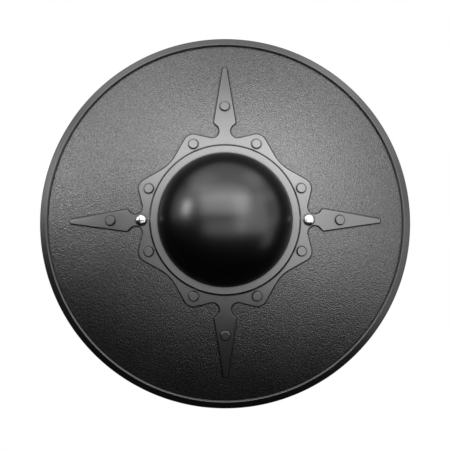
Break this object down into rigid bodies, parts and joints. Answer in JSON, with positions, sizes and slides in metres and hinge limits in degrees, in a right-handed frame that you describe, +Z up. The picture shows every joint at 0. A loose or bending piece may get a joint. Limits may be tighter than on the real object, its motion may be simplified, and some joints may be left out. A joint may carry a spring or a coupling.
{
  "type": "targe",
  "caption": "Round dished shield with a raised edge band, a star-shaped plate riveted round a domed boss, and a bolted centre grip behind the boss.",
  "frame": {"origin": "middle of the grip, behind the boss", "axes": "-Y out of the front along the boss axis, +Z up with the grip level, +X to the right as seen from the front"},
  "size_m": [0.508, 0.1383, 0.508],
  "materials": {
    "face": "fine pebble grain, satin",
    "rim": "smooth satin",
    "plate": "smooth satin",
    "rivet": "smooth satin",
    "boss": "soft gloss",
    "bolt_steel": "polished steel",
    "washer_steel": "plain zinc-plated steel",
    "bar": "black powder coat",
    "grip": "ribbed, matt"
  },
  "bodies": {
    "root": {"face_shell": "face", "rim_binding": "rim", "boss_dome": "boss", "star_plate": "plate", "rivet_01": "rivet", "rivet_washer_01": "washer_steel", "rivet_02": "rivet", "rivet_washer_02": "washer_steel", "rivet_03": "rivet", "rivet_washer_03": "washer_steel", "rivet_04": "rivet", "rivet_washer_04": "washer_steel", "rivet_05": "rivet", "rivet_washer_05": "washer_steel", "rivet_06": "rivet", "rivet_washer_06": "washer_steel", "rivet_07": "rivet", "rivet_washer_07": "washer_steel", "rivet_08": "rivet", "rivet_washer_08": "washer_steel", "rivet_09": "rivet", "rivet_washer_09": "washer_steel", "rivet_10": "rivet", "rivet_washer_10": "washer_steel", "rivet_11": "rivet", "rivet_washer_11": "washer_steel", "rivet_12": "rivet", "rivet_washer_12": "washer_steel", "grip_bolt_right": "bolt_steel", "bolt_washer_right": "washer_steel", "bolt_nut_right": "washer_steel", "grip_bolt_left": "bolt_steel", "bolt_washer_left": "washer_steel", "bolt_nut_left": "washer_steel", "grip_bar": "bar", "grip_scale_front": "grip", "grip_scale_back": "grip", "grip_rivet_right": "washer_steel", "grip_rivet_left": "washer_steel"}
  },
  "joints": []
}
